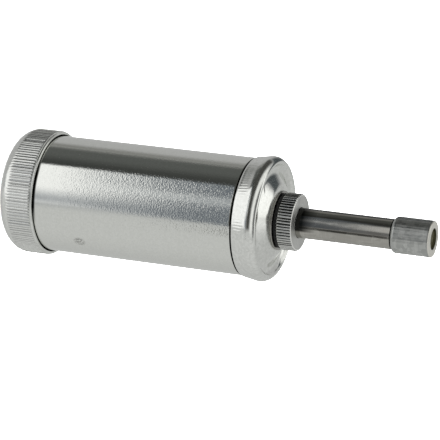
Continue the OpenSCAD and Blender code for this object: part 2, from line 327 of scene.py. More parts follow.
def startFinish(name):
    made = bpy.data.materials.new(name)
    made.use_nodes = True
    tree = made.node_tree
    return made, tree, tree.nodes["Principled BSDF"]


def useGroup(tree, group, x, y, **values):
    made = nodeAt(tree, "ShaderNodeGroup", x, y, node_tree=group)
    for label, value in values.items():
        made.inputs[label.replace("_", " ")].default_value = value
    return made


def ramp(tree, source, x, y, stops):
    made = nodeAt(tree, "ShaderNodeValToRGB", x, y)
    bar = made.color_ramp
    while len(bar.elements) > len(stops):
        bar.elements.remove(bar.elements[-1])
    while len(bar.elements) < len(stops):
        bar.elements.new(0.5)
    for element, (place, colour) in zip(bar.elements, stops):
        element.position = place
        element.color = (*colour, 1) if len(colour) == 3 else colour
    tree.links.new(source, made.inputs[0])
    return made.outputs[0]


def spread(tree, source, x, y, low, high):  # a 0 to 1 mask spread between two values
    made = nodeAt(tree, "ShaderNodeMapRange", x, y)
    made.inputs["To Min"].default_value = low
    made.inputs["To Max"].default_value = high
    tree.links.new(source, made.inputs["Value"])
    return made.outputs[0]


def bump(tree, shader, height, x, y, strength, depthMm):
    made = nodeAt(tree, "ShaderNodeBump", x, y)
    made.inputs["Strength"].default_value = strength
    made.inputs["Distance"].default_value = depthMm * mm
    tree.links.new(height, made.inputs["Height"])
    tree.links.new(made.outputs[0], shader.inputs["Normal"])
    return made


# black painted where shade falls in gaps and in knurl roots
shadeBlack = (0.012, 0.012, 0.011)
greasySteel = (0.40, 0.39, 0.35)
rearCapHigh = span("rear_cap")[2]
neckShadeLevels = (100.25, 100.35)  # levels in which the painted shade under the front cap and the greasy thread start
neckGrease = (101.8, 102.2)
# painted shade: black on the neck just under the front cap's edge
neckGapShade = {"limits": [("level", *neckShadeLevels)], "colour": shadeBlack}
# painted shade: black on the barrel just in front of the rear cap's lip
rearGapShade = {"limits": [("level", rearCapHigh + 0.35, rearCapHigh + 0.15)], "colour": shadeBlack}
# painted shade: the black band in front of the rear cap made wider on the -Y side
rearGapSideShade = {"limits": [("level", rearCapHigh + 1.1, rearCapHigh + 0.6), ("side", -19.5, -22.5)],
            "colour": shadeBlack}
greasyNeck = {"limits": [("level", *neckGrease)], "colour": greasySteel}
greasyRear = {"limits": [("level", rearCapHigh - 1.6, rearCapHigh - 2.0)], "colour": greasySteel}
platedBarrel = {
    "dark": (0.73, 0.74, 0.705), "light": (0.78, 0.79, 0.755),
    "roughLow": 0.04, "roughHigh": 0.07, "grain": 1.7, "stretch": 1.0, "lines": 2.0, "drawn": 0.35,
    "bump": 1.0, "bumpDepth": 0.030, "lineShare": 0.05,
    "greaseAndPaintedLight": [neckGapShade, rearGapShade, rearGapSideShade, greasyNeck, greasyRear],
    "marks": [{"Centre": (18.3, -14.8, 34.8), "Along": (0, 0, 1), "Long": 2.8, "Wide": 2.6, "Grain": 1.3}],
    "calm": {"limit": ("level", 22, 48), "share": 0.4},
    "markColour": (0.38, 0.38, 0.36),
}

upward = (-0.9434, -0.332, 0.0)  # the side of the gun that is up in the photograph
directions = {"level": (0, 0, 1), "side": (0, 1, 0), "upper": upward}


def between(tree, x, y, measure, start, end):  # 0 to 1 along a direction or outwards from the axis, in mm
    coords = nodeAt(tree, "ShaderNodeTexCoord", x - 600, y)
    if measure in directions:
        dot = nodeAt(tree, "ShaderNodeVectorMath", x - 400, y, operation="DOT_PRODUCT")
        dot.inputs[1].default_value = directions[measure]
        tree.links.new(coords.outputs["Object"], dot.inputs[0])
        value = dot.outputs["Value"]
    else:
        flat = nodeAt(tree, "ShaderNodeVectorMath", x - 400, y, operation="MULTIPLY")
        flat.inputs[1].default_value = (1, 1, 0)
        tree.links.new(coords.outputs["Object"], flat.inputs[0])
        long = nodeAt(tree, "ShaderNodeVectorMath", x - 200, y, operation="LENGTH")
        tree.links.new(flat.outputs[0], long.inputs[0])
        value = long.outputs["Value"]
    made = nodeAt(tree, "ShaderNodeMapRange", x, y)
    made.inputs["From Min"].default_value = start * mm
    made.inputs["From Max"].default_value = end * mm
    tree.links.new(value, made.inputs["Value"])
    return made.outputs[0]


def shade(tree, colour, mask, x, y, other):  # the colour, replaced where the mask is 1
    made = nodeAt(tree, "ShaderNodeMix", x, y, data_type="RGBA")
    tree.links.new(mask, made.inputs[0])
    tree.links.new(colour, made.inputs[6])  # 6 and 7 are the colour sockets
    made.inputs[7].default_value = (*other, 1)
    return made.outputs[2]


def region(tree, x, y, limits):  # 1 where all the limits are passed
    mask = 1.0
    for j, limit in enumerate(limits):
        row = y + 200 * j
        mask = mathNode(tree, "MULTIPLY", x, row, mask, between(tree, x - 200, row, *limit))
    return mask


def makePlated(name, look):
    made, tree, shader = startFinish(name)
    shader.inputs["Metallic"].default_value = 1.0
    grains = useGroup(tree, spangle, -700, 200, Grain_per_mm=look["grain"], Stretch=look["stretch"])
    rings = useGroup(tree, turningMarks, -700, -100, Lines_per_mm=look["lines"])
    tone = mathNode(tree, "MULTIPLY", -450, 200, grains.outputs["Tone"], rings.outputs["Tone"])
    tone = mathNode(tree, "MULTIPLY", -450, 350, tone, 2.0, clamp=True)
    colour = ramp(tree, tone, -250, 300, [(0.0, look["dark"]), (1.0, look["light"])])
    # patches over the colour: real grease, painted shade and painted highlight
    for i, patch in enumerate(look.get("greaseAndPaintedLight", ())):
        y = 600 + 800 * i
        colour = shade(tree, colour, region(tree, -250, y, patch["limits"]), -50, y, patch["colour"])
    for i, mark in enumerate(look.get("marks", ())):
        spot = useGroup(tree, markSpot, -250, 900 + 200 * i, **mark)
        colour = shade(tree, colour, spot.outputs["Mask"], -50, 900 + 200 * i, look["markColour"])
    tree.links.new(colour, shader.inputs["Base Color"])
    rough = spread(tree, grains.outputs["Tone"], -250, 50, look["roughLow"], look["roughHigh"])
    if "satin" in look:
        cover = region(tree, -250, -600, look["satin"]["limits"])
        matt = spread(tree, cover, -50, -600, 0.0, look["satin"]["rough"])
        rough = mathNode(tree, "MAXIMUM", 100, -300, rough, matt)
        turned = spread(tree, cover, -50, -800, 0.0, look["satin"]["turned"])
        tree.links.new(turned, shader.inputs["Anisotropic"])
        shader.inputs["Anisotropic Rotation"].default_value = 0.25  # light spreads across the turned rings
        tangent = nodeAt(tree, "ShaderNodeTangent", -50, -1000, direction_type="RADIAL", axis="Z")
        tree.links.new(tangent.outputs[0], shader.inputs["Tangent"])
    tree.links.new(rough, shader.inputs["Roughness"])
    fine = mathNode(tree, "MULTIPLY", -450, -250, rings.outputs["Height"], look["lineShare"])
    height = mathNode(tree, "ADD", -450, -100, grains.outputs["Height"], fine)
    if "drawn" in look:
        lines = useGroup(tree, drawnLines, -700, -400)
        drawn = mathNode(tree, "MULTIPLY", -450, -400, lines.outputs["Height"], look["drawn"])
        height = mathNode(tree, "ADD", -350, -250, height, drawn)
    relief = bump(tree, shader, height, -250, -200, look["bump"], look["bumpDepth"])
    if "calm" in look:  # the relief is weaker at one end
        share = between(tree, -450, -800, *look["calm"]["limit"])
        strength = spread(tree, share, -350, -600, look["calm"]["share"], look["bump"])
        tree.links.new(strength, relief.inputs["Strength"])
    return made


platedCap = {
    "dark": (0.72, 0.73, 0.70), "light": (0.82, 0.83, 0.80),
    "roughLow": 0.10, "roughHigh": 0.16, "grain": 1.2, "stretch": 1.0, "lines": 2.0,
    "bump": 0.5, "bumpDepth": 0.008, "lineShare": 0.2,
    "marks": [{"Centre": (-11.0, -14.0, 109.55), "Along": (0.951, -0.198, 0.240), "Long": 2.0, "Wide": 0.42,
               "Grain": 0.0}],
    "markColour": (0.05, 0.05, 0.045),
    "satin": {"limits": [("radius", 14.4, 13.0), ("level", 109.5, 110.0)], "rough": 0.32, "turned": 0.0},
}
platedNut = {
    "dark": (0.56, 0.565, 0.545), "light": (0.62, 0.625, 0.60),
    "roughLow": 0.17, "roughHigh": 0.22, "grain": 1.2, "stretch": 1.0, "lines": 3.0,
    "bump": 0.4, "bumpDepth": 0.003, "lineShare": 0.2,
}
satinMouth = {
    "dark": (0.39, 0.40, 0.385), "light": (0.53, 0.54, 0.52),
    "roughLow": 0.30, "roughHigh": 0.38, "grain": 0.7, "stretch": 1.0, "lines": 3.0,
    "bump": 0.4, "bumpDepth": 0.004, "lineShare": 0.2,
}
bareSteel = {
    "dark": (0.30, 0.295, 0.275), "light": (0.37, 0.365, 0.34),
    "roughLow": 0.06, "roughHigh": 0.10, "grain": 0.8, "stretch": 0.3, "lines": 1.5,
    "bump": 0.5, "bumpDepth": 0.008, "lineShare": 0.1, "drawn": 1.5,
}
springWire = {
    "dark": (0.30, 0.30, 0.31), "light": (0.45, 0.45, 0.47),
    "roughLow": 0.22, "roughHigh": 0.32, "grain": 2.0, "stretch": 1.0, "lines": 3.0,
    "bump": 0.3, "bumpDepth": 0.01, "lineShare": 0.2,
}
turnedBrass = {
    "dark": (0.55, 0.40, 0.17), "light": (0.78, 0.60, 0.30),
    "roughLow": 0.2, "roughHigh": 0.32, "grain": 1.5, "stretch": 1.0, "lines": 4.0,
    "bump": 0.3, "bumpDepth": 0.02, "lineShare": 0.6,
}

blackRubber = {"dark": (0.002, 0.002, 0.002), "light": (0.005, 0.005, 0.005), "grain": 1.5, "rough": 0.5,
               "shine": 0.2}
greasedLeather = {"dark": (0.07, 0.04, 0.02), "light": (0.20, 0.12, 0.06), "grain": 1.0, "rough": 0.4,
                  "shine": 0.5}


def makeSoft(name, look):
    made, tree, shader = startFinish(name)
    grains = useGroup(tree, spangle, -700, 200, Grain_per_mm=look["grain"], Stretch=1.0)
    colour = ramp(tree, grains.outputs["Tone"], -250, 300, [(0.0, look["dark"]), (1.0, look["light"])])
    tree.links.new(colour, shader.inputs["Base Color"])
    shader.inputs["Roughness"].default_value = look["rough"]
    shader.inputs["Specular IOR Level"].default_value = look["shine"]
    bump(tree, shader, grains.outputs["Height"], -250, -200, 0.3, 0.05)
    return made


finishes = {
    "plated_barrel": makePlated("platedBarrel", platedBarrel),
    "plated_cap": makePlated("platedCap", platedCap),
    "plated_nut": makePlated("platedNut", platedNut),
    "bare_steel": makePlated("bareSteel", bareSteel),
    "spring_steel": makePlated("springWire", springWire),
    "pump_brass": makePlated("turnedBrass", turnedBrass),
    "black_rubber": makeSoft("blackRubber", blackRubber),
    "cup_leather": makeSoft("greasedLeather", greasedLeather),
}

# what the mouthpiece, nut and pump tube have beside their slot's finish

mouthLow, mouthHigh = span("mouthpiece")[1:]
socketFloor = {"limits": [("radius", 4.15, 4.05), ("level", mouthHigh - 1.40, mouthHigh - 1.45)],
               "colour": (0.60, 0.58, 0.45)}
mouthEnd = {"limits": [("level", mouthHigh - 0.46, mouthHigh - 0.42), ("radius", 4.2, 4.4)],
            "colour": (0.77, 0.755, 0.69)}
socketWall = {"limits": [("radius", 4.5, 4.3), ("level", mouthHigh - 1.45, mouthHigh - 1.40),
                         ("level", mouthHigh - 0.1, mouthHigh - 0.2)], "colour": (0.14, 0.135, 0.09)}
mouthFinish = makePlated("satinMouth", {**satinMouth, "greaseAndPaintedLight": [mouthEnd, socketFloor, socketWall]})
nutLow, nutHigh = span("gland_nut")[1:]
nutRings = {"grooves": (11.2, 11.02), "topShadeRadii": (11.27, 11.14), "edge": (10.5, 10.7)}  # radii
knurlFront = ("level", nutHigh - 0.25, nutHigh - 0.35)
# painted shade: black in the nut knurl's roots
grooves = {"limits": [("radius", *nutRings["grooves"]), knurlFront, ("level", nutLow - 0.2, nutLow - 0.1)],
           "colour": shadeBlack}
# painted shade: on the nut's upper side the black reaches further up the knurl
nutTopShade = {"limits": [("radius", *nutRings["topShadeRadii"]), knurlFront, ("upper", 4.0, 8.0)], "colour": shadeBlack}
# painted highlight: a near-white ring on the nut's front rim
nutRimHighlight = {"limits": [("radius", *nutRings["edge"]), ("level", nutHigh - 0.3, nutHigh - 0.2)],
            "colour": (0.92, 0.92, 0.89)}
nutFace = {"limits": [("level", nutHigh - 0.12, nutHigh - 0.08)], "rough": 0.38, "turned": 0.85}
# the nut's finish, with painted shade in the knurl and a painted highlight on its rim
nutFinish = makePlated("nutPaintedLight", {**platedNut, "greaseAndPaintedLight": [grooves, nutTopShade, nutRimHighlight], "satin": nutFace})
# painted shade: black on the tube where it enters the mouthpiece
jointShade = {"limits": [("level", mouthLow - 0.8, mouthLow - 0.65),
                        ("level", mouthLow + 0.7, mouthLow + 0.5)], "colour": (0.004, 0.004, 0.004)}
# the tube's upper half made darker just in front of the nut
tubeDarkNearNut = {"limits": [("level", nutHigh + 8.5, nutHigh + 2.5), ("upper", -2.0, -1.2)],
            "colour": (0.03, 0.03, 0.028)}
# the tube's finish, with painted shade where it enters the mouthpiece
tubeFinish = makePlated("shadedTube", {
    **bareSteel, "dark": (0.375, 0.365, 0.335), "light": (0.46, 0.45, 0.415), "greaseAndPaintedLight": [jointShade, tubeDarkNearNut]})

for entry in frame["record"]["subparts"]:  # solids that get no new piece below keep their slot's finish
    solid = frame["nodes"][entry["node"]]
    solid.data.materials.clear()
    solid.data.materials.append(finishes[entry["material_slot"]])
print("finishes made:", len(finishes))


def settle(obj, body, node, slotName, finish=None):  # finish, body and solid of a new piece
    obj.data.materials.clear()
    obj.data.materials.append(finish or finishes[slotName])
    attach(obj, body)
    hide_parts(node)
    print("piece", obj.name, "faces", len(obj.data.polygons))


# barrel: a thin tube, drawn in where the front cap screws on

barrelShape = {
    "wall": 0.8, "neckStep": 0.9, "neckLength": 6.4, "edge": 0.15, "segments": 288, "pitch": 1.5,
    "threadDeep": 0.35, "threadR": 0.37, "threadSlope": 0.4, "neckPlain": 1.5, "rearPlain": 1.8,
}


def rollThread(obj, r, low, high):  # rolled thread: a round ridge that winds round the tube
    wire = barrelShape["threadR"]
    turns = (high - low - 2 * wire) / barrelShape["pitch"]
    ridge = coil("thread", r - wire, wire, low, high, turns, closed=0, stepsPerTurn=96)
    deselectAll()
    ridge.select_set(True)
    obj.select_set(True)
    bpy.context.view_layer.objects.active = obj
    bpy.ops.object.join()


def makeBarrel():
    r, low, high = span("barrel")
    wall = barrelShape["wall"]
    step = barrelShape["neckStep"]
    edge = barrelShape["edge"]
    shoulder = high - barrelShape["neckLength"]
    inner = r - wall
    core = r - barrelShape["threadDeep"]
    rearEnd = rearCapHigh - barrelShape["rearPlain"]
    neckStart = shoulder + barrelShape["neckPlain"]
    slope = barrelShape["threadSlope"]
    section = [(core - edge, low), (core, low + edge), (core, rearEnd - slope), (r, rearEnd),
               (r, rearEnd + 0.3), (r, rearEnd + 12), (r, (low + shoulder) / 2), (r, shoulder - 12),
               (r, shoulder - 0.5), (r, shoulder - 0.2), (r - 0.05, shoulder), (r - step, shoulder + 0.3),
               (r - step, neckStart), (core - step, neckStart + slope), (core - step, high),
               (inner - step, high), (inner - step, shoulder + step), (inner, shoulder), (inner, low),
               (core - edge, low)]
    obj = turn("barrelTube", section, barrelShape["segments"])
    rollThread(obj, r, low, rearEnd - slope / 2)
    rollThread(obj, r - step, neckStart + slope / 2, high)
    settle(obj, "barrel", "barrel", "plated_barrel")


makeBarrel()

# rear cap: pressed sheet with a straight knurl that runs out on the rounded corner

rearCap = {
    "corner": 6.5, "sheet": 1.2, "knurlLow": 3.6, "lip": 0.8, "lipDrop": 0.5, "lipGap": 0.4, "lipRound": 0.4,
    "pitch": 1.2, "depth": 0.27, "tooth": (0.0, 0.15, 0.7, 1.0, 0.7, 0.15), "cornerSteps": 14,
    "rootShadeGrey": (0.42, 0.42, 0.41),
}
barrelR = span("barrel")[0]
slip = 0.05  # between the barrel and the caps


def makeRearCap():
    shape = rearCap
    r, low, high = span("rear_cap")
    corner = shape["corner"]
    sheet = shape["sheet"]
    bore = barrelR + slip
    lipR = r - shape["lipDrop"]
    lipLow = high - shape["lip"]
    lipInner = barrelR + shape["lipGap"]
    lipRound = shape["lipRound"]
    section = [(0, low), (6.0, low), (12.0, low)]
    section += arc(r - corner, low + corner, corner, -90, 0, shape["cornerSteps"])
    section += [(r, low + corner + 0.3), (r, low + 9.5), (r, lipLow - 0.7), (r, lipLow - 0.35),
                (r - 0.12, lipLow - 0.1), (lipR + 0.02, lipLow)]
    section += arc(lipR - lipRound, lipLow + lipRound, lipRound, -20, 90, 6)
    section += [(lipInner + 0.15, high), (lipInner, high - 0.15), (lipInner, high - 2 * shape["lip"]),
                (bore, high - 2 * shape["lip"] - 0.5)]
    section += arc(bore - corner + sheet, low + corner, corner - sheet, 0, -90, 8)
    section += [(8.0, low + sheet), (0, low + sheet)]
    teeth = round(math.tau * r / shape["pitch"])
    obj = turn("rearCapShell", section, teeth * len(shape["tooth"]), smoothDeg=40)
    cutKnurl(obj, r, shape["depth"], teeth, shape["tooth"], shape["knurlLow"], lipLow - 0.05)
    # painted shade: grey in the knurl's roots, fading out on the side facing away from up
    grooves = {"limits": [("radius", r - 0.10, r - 0.24), ("level", low + 5.0, low + 5.6),
                          ("level", lipLow - 0.2, lipLow - 0.3), ("upper", -22.0, -11.0)],
               "colour": shape["rootShadeGrey"]}
    finish = makePlated("rearCapRootShade", {
        **platedCap, "greaseAndPaintedLight": [grooves], "marks": (), "roughLow": 0.15, "roughHigh": 0.21})
    settle(obj, "rear_cap", "rear_cap", "plated_cap", finish)


makeRearCap()

# front cap: flared skirt with a faint knurl band, rolled edge, raised rim, ring-shaped hollow and a boss

frontCap = {
    "edgeOver": 0.4, "bandLow": 1.0, "bandHigh": 4.2, "depth": 0.07, "pitch": 1.2,
    "tooth": (0.0, 0.5, 1.0, 0.5), "flareR": 24.65, "flareUp": 4.2, "flareSteps": 8,
    "roll": 4.3, "rollUp": 6.3, "rollEnd": 47.5, "rim": 1.1, "hollowR": 19.4,
    "coneOuterR": 17.6, "coneInnerR": 14.6, "faceLow": 12.0, "faceSteep": 33.0, "faceHigh": 8.0,
    "bossR": 12.0, "sheet": 1.2, "ceiling": 0.9, "boreR": 8.2, "neckStep": 0.9, "steps": 16,
}


def makeFrontCap():
    shape = frontCap
    r, low, high = span("front_cap")
    roll = shape["roll"]
    rim = shape["rim"]
    rollR = r - roll
    rollZ = low + shape["rollUp"]
    rimR = rollR + (roll - rim) * math.cos(math.radians(shape["rollEnd"]))
    rimZ = rollZ + (roll - rim) * math.sin(math.radians(shape["rollEnd"]))
    sines = [math.sin(math.radians(shape[key])) for key in ("faceLow", "faceSteep", "faceHigh")]
    cosines = [math.cos(math.radians(shape[key])) for key in ("faceLow", "faceSteep", "faceHigh")]
    cupArc = (shape["hollowR"] - shape["coneOuterR"]) / (sines[1] - sines[0])  # the face rises in a cup,
    domeArc = (shape["coneInnerR"] - shape["bossR"]) / (sines[1] - sines[2])  # and turns over in a dome
    cone = (shape["coneOuterR"] - shape["coneInnerR"]) * sines[1] / cosines[1]
    hollowZ = high - domeArc * (cosines[2] - cosines[1]) - cone - cupArc * (cosines[0] - cosines[1])
    run = rimR - shape["hollowR"]
    rise = hollowZ - rimZ
    hollowArc = (run * run + rise * rise - rim * rim) / (2 * (rim - rise))
    blend = math.degrees(math.asin(run / (rim + hollowArc)))  # where the rim passes into the hollow
    edgeR = barrelR + shape["edgeOver"]
    flareZ = low + shape["flareUp"]
    neckR = barrelR - shape["neckStep"] + slip
    slope = (shape["flareR"] - edgeR) / shape["flareUp"]
    section = [(edgeR - 0.2, low), (edgeR - 0.05, low + 0.06)]
    for i in range(shape["flareSteps"] + 1):
        up = 0.2 + (shape["flareUp"] - 0.2) * i / shape["flareSteps"]
        section.append((edgeR + slope * up, low + up))
    section += [(r - 0.18, flareZ + 0.7), (r - 0.07, flareZ + 1.3), (r - 0.01, rollZ - 0.3)]
    section += arc(rollR, rollZ, roll, 0, shape["rollEnd"], shape["steps"])
    section += arc(rimR, rimZ, rim, shape["rollEnd"], 90 + blend, 14)[1:]
    section += arc(shape["hollowR"], hollowZ + hollowArc, hollowArc, blend - 90, -90, 12)[1:]
    section += arc(shape["hollowR"] + cupArc * sines[0], hollowZ + cupArc * cosines[0], cupArc,
                   -90 - shape["faceLow"], -90 - shape["faceSteep"], 12)[1:]
    section += arc(shape["bossR"] - domeArc * sines[2], high - domeArc * cosines[2], domeArc,
                   90 - shape["faceSteep"], 90 - shape["faceHigh"], 12)
    ceiling = hollowZ - shape["ceiling"]
    section += [(shape["boreR"], high), (shape["boreR"], high - shape["sheet"]),
                (shape["bossR"] - 0.6, high - shape["sheet"]), (shape["coneInnerR"] - 0.6, high - 1.6),
                (shape["hollowR"] - 0.8, ceiling),
                (neckR - 0.8, ceiling), (neckR, ceiling - 0.8), (neckR, low + shape["neckStep"]),
                (edgeR - 0.36, low), (edgeR - 0.2, low)]
    teeth = round(math.tau * shape["flareR"] / shape["pitch"])
    obj = turn("frontCapShell", section, teeth * len(shape["tooth"]), smoothDeg=40)
    bandLow = low + shape["bandLow"]
    cutKnurl(obj, edgeR + slope * shape["bandLow"], shape["depth"], teeth, shape["tooth"], bandLow,
             low + shape["bandHigh"] + 0.01, slope)
    settle(obj, "front_cap", "front_cap", "plated_cap")


makeFrontCap()

# washer and black ring under the gland nut

washerShape = {"boreR": 8.0, "segments": 128, "nutOver": 0.35}


def makeWasher(name, node, slotName, rounding, trim=0.0, finish=None):
    r, low, high = span(node)
    high -= trim
    bore = washerShape["boreR"]
    section = [(bore, low)]
    section += arc(r - rounding, low + rounding, rounding, -90, 0, 4)
    section += arc(r - rounding, high - rounding, rounding, 0, 90, 4)
    section += [(bore, high), (bore, low)]
    obj = turn(name, section, washerShape["segments"])
    settle(obj, "front_cap", node, slotName, finish)


makeWasher("collarWasher", "collar_washer", "plated_nut", 0.12, finish=finishes["bare_steel"])
makeWasher("neckRing", "neck_seal", "black_rubber", 0.6, trim=washerShape["nutOver"])

# gland nut

glandNut = {
    "pitch": 1.2, "depth": 0.42, "tooth": (0.0, 0.1, 0.75, 1.0, 0.75, 0.1), "edge": 0.3, "wall": 1.0,
    "boreR": 8.0, "holeR": 6.1,
}


def makeGlandNut():
    shape = glandNut
    r, low, high = span("gland_nut")
    low -= washerShape["nutOver"]  # its rear edge stands a little over the black ring
    edge = shape["edge"]
    rim = r - edge
    ceiling = high - shape["wall"]
    section = [(shape["boreR"], low), (rim - 0.1, low), (rim, low + 0.1), (r, low + edge),
               (r, (low + high) / 2), (r, high - edge - 0.1), (rim, high - 0.12), (rim - 0.2, high - 0.02),
               (rim - 0.4, high), (shape["holeR"] + 0.1, high), (shape["holeR"], high - 0.1),
               (shape["holeR"], ceiling), (shape["boreR"], ceiling), (shape["boreR"], low)]
    teeth = round(math.tau * r / shape["pitch"])
    obj = turn("glandNut", section, teeth * len(shape["tooth"]), smoothDeg=40)
    cutKnurl(obj, r, shape["depth"], teeth, shape["tooth"], low + edge - 0.05, high - edge - 0.05)
    settle(obj, "gland_nut", "gland_nut", "plated_nut", nutFinish)


makeGlandNut()

# pump tube

pumpTube = {
    "boreR": 3.0, "edge": 0.4, "tipR": 4.95, "tipLength": 5.8, "tipEdge": 0.15, "valveR": 3.0, "seatR": 1.5,
    "seatDrop": 4.0, "seatDeep": 1.4, "segments": 160,
}


def makePumpTube():
    shape = pumpTube
    r, low, high = span("plunger_tube")
    shoulder = high - shape["tipLength"]
    seat = high - shape["seatDrop"]
    edge = shape["edge"]
    tipEdge = shape["tipEdge"]
    section = [(shape["boreR"], low), (r - edge, low), (r, low + edge), (r, low + 20), (r, low + 40),
               (r, shoulder - tipEdge), (r - tipEdge, shoulder), (shape["tipR"], shoulder),
               (shape["tipR"], high - edge), (shape["tipR"] - edge, high), (shape["valveR"], high),
               (shape["valveR"], seat), (shape["seatR"], seat), (shape["seatR"], seat - shape["seatDeep"]),
               (shape["boreR"], seat - shape["seatDeep"]), (shape["boreR"], low)]
    obj = turn("pumpTube", section, shape["segments"])
    settle(obj, "plunger", "plunger_tube", "bare_steel", tubeFinish)


makePumpTube()

# mouthpiece

mouthPiece = {
    "pitch": 1.2, "depth": 0.045, "tooth": (0.0, 0.2, 0.6, 0.9, 1.0, 0.9, 0.6, 0.2), "chamfer": 0.65,
    "edge": 0.4, "tubeGap": 6.15, "tubeGapDeep": 0.6, "threadR": 5.0, "threadDeep": 7.3, "valveR": 2.9,
    "valveDeep": 9.7, "outletR": 1.1, "socketR": 4.1, "socketDeep": 1.5,
}


def makeMouthpiece():
    shape = mouthPiece
    r, low, high = span("mouthpiece")
    chamfer = shape["chamfer"]
    edge = shape["edge"]
    floor = high - shape["socketDeep"]
    section = [(shape["tubeGap"], low), (r - chamfer + 0.1, low), (r - 0.2, low + chamfer - 0.15),
               (r, low + chamfer + 0.2), (r, low + chamfer + 0.5), (r, (low + high) / 2),
               (r, high - edge - 0.5), (r, high - edge - 0.05), (r - edge + 0.05, high - 0.02),
               (r - edge - 0.1, high), (shape["socketR"] + 0.2, high), (shape["socketR"], high - 0.2),
               (shape["socketR"], floor), (shape["outletR"] + 0.2, floor), (shape["outletR"], floor - 0.2),
               (shape["outletR"], low + shape["valveDeep"]), (shape["valveR"], low + shape["valveDeep"]),
               (shape["valveR"], low + shape["threadDeep"]), (shape["threadR"], low + shape["threadDeep"]),
               (shape["threadR"], low + shape["tubeGapDeep"]), (shape["tubeGap"], low + shape["tubeGapDeep"]),
               (shape["tubeGap"], low)]
    teeth = round(math.tau * r / shape["pitch"])
    obj = turn("mouthpiece", section, teeth * len(shape["tooth"]), smoothDeg=40)
    cutKnurl(obj, r, shape["depth"], teeth, shape["tooth"], low + chamfer, high - edge - 0.2)
    settle(obj, "mouthpiece", "mouthpiece", "plated_nut", mouthFinish)


makeMouthpiece()

# springs: a coil for each, fixed to its body

springs = {
    "followerSpring": {"node": "follower_spring", "body": "barrel", "joint": "follower_slide", "r": 16.0,
                       "wire": 0.9, "turns": 8, "fixedEnd": 0, "travel": 26.0},
    "returnSpring": {"node": "return_spring", "body": "front_cap", "joint": "plunger_slide", "r": 6.95,
                     "wire": 0.5, "turns": 10, "fixedEnd": 0, "travel": 26.0},
    "checkSpring": {"node": "check_spring", "body": "plunger", "joint": "check_ball_lift", "r": 1.6,
                    "wire": 0.2, "turns": 5, "fixedEnd": 1, "travel": 1.0},
}
for name, shape in springs.items():
    low, high = span(shape["node"])[1:]
    obj = coil(name, shape["r"], shape["wire"], low, high, shape["turns"])
    settle(obj, shape["body"], shape["node"], "spring_steel")
    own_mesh(obj)

# camera: rolled over, because the photograph shows the gun lying down

cameraView = {
    "place": (0.00283, -0.81025, 0.39393), "turnDeg": (-18.0888, -68.1544, 109.3883), "lens": 178.64,
}
cameraData = bpy.data.cameras.new("camera")
cameraData.lens = cameraView["lens"]
cameraData.sensor_width = 36
cameraData.clip_end = 100
camera = bpy.data.objects.new("camera", cameraData)
bpy.context.scene.collection.objects.link(camera)
camera.location = cameraView["place"]
camera.rotation_euler = [math.radians(a) for a in cameraView["turnDeg"]]
bpy.context.scene.camera = camera

# floor

deselectAll()
bpy.ops.mesh.primitive_plane_add(size=30)
floor = bpy.context.object
floor.name = "floor"
floorFinish, floorShader = startFinish("floorPaper")[::2]
floorShader.inputs["Base Color"].default_value = (0.93, 0.93, 0.93, 1)
floorShader.inputs["Roughness"].default_value = 0.9
floorShader.inputs["Specular IOR Level"].default_value = 0.0
floorShader.inputs["Emission Color"].default_value = (1, 1, 1, 1)
floorShader.inputs["Emission Strength"].default_value = 0.8
floor.data.materials.append(floorFinish)
floor.visible_glossy = False  # the metal mirrors the studio's panels, not the paper

# studio: soft panels round the gun, seen only as reflections, and even white light for the rest
# each panel spans degrees round the axis (0 towards the camera, 90 up) and degrees towards the mouthpiece

